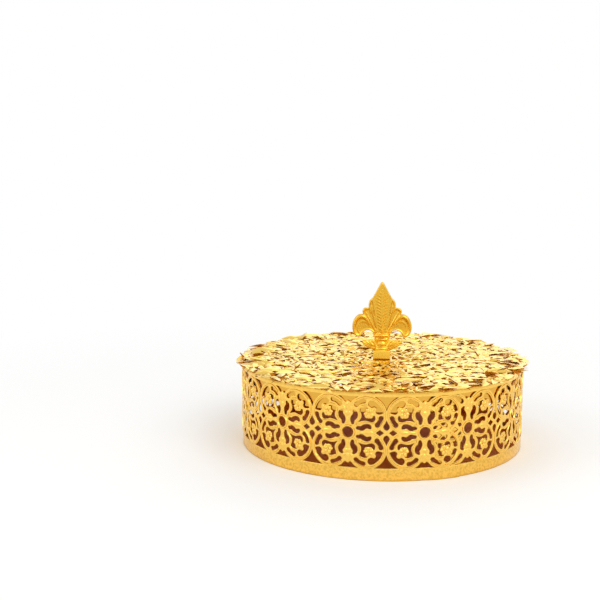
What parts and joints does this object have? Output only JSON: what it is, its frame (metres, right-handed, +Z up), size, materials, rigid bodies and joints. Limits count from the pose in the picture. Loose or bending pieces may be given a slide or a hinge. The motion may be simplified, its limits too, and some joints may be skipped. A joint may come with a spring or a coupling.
{
  "type": "dry fruit box",
  "caption": "Round gold box with a pierced rosette wall and a lift-off leafy filigree lid carrying an upright fleur-de-lis finial.",
  "frame": {"origin": "middle of the underside, on the surface that the box stands on", "axes": "+Z up through the finial, -Y towards the finial's shown face, +X to the right of it"},
  "size_m": [0.212, 0.212, 0.116],
  "materials": {
    "wall_gold": "polished",
    "floor_gold": "satin",
    "lid_gold": "polished",
    "collar_gold": "polished",
    "finial_gold": "satin",
    "screw_steel": "satin"
  },
  "bodies": {
    "box": {"wall_band": "wall_gold", "base_plate": "floor_gold"},
    "lid": {"lid_filigree": "lid_gold", "lid_collar": "collar_gold", "finial": "finial_gold", "finial_seat": "finial_gold", "finial_washer": "screw_steel", "finial_screw": "screw_steel"}
  },
  "joints": [
    {"name": "lid_lift", "type": "slide", "parent": "box", "child": "lid", "axis": [0, 0, 1], "range_m": [0, 0.06]}
  ]
}
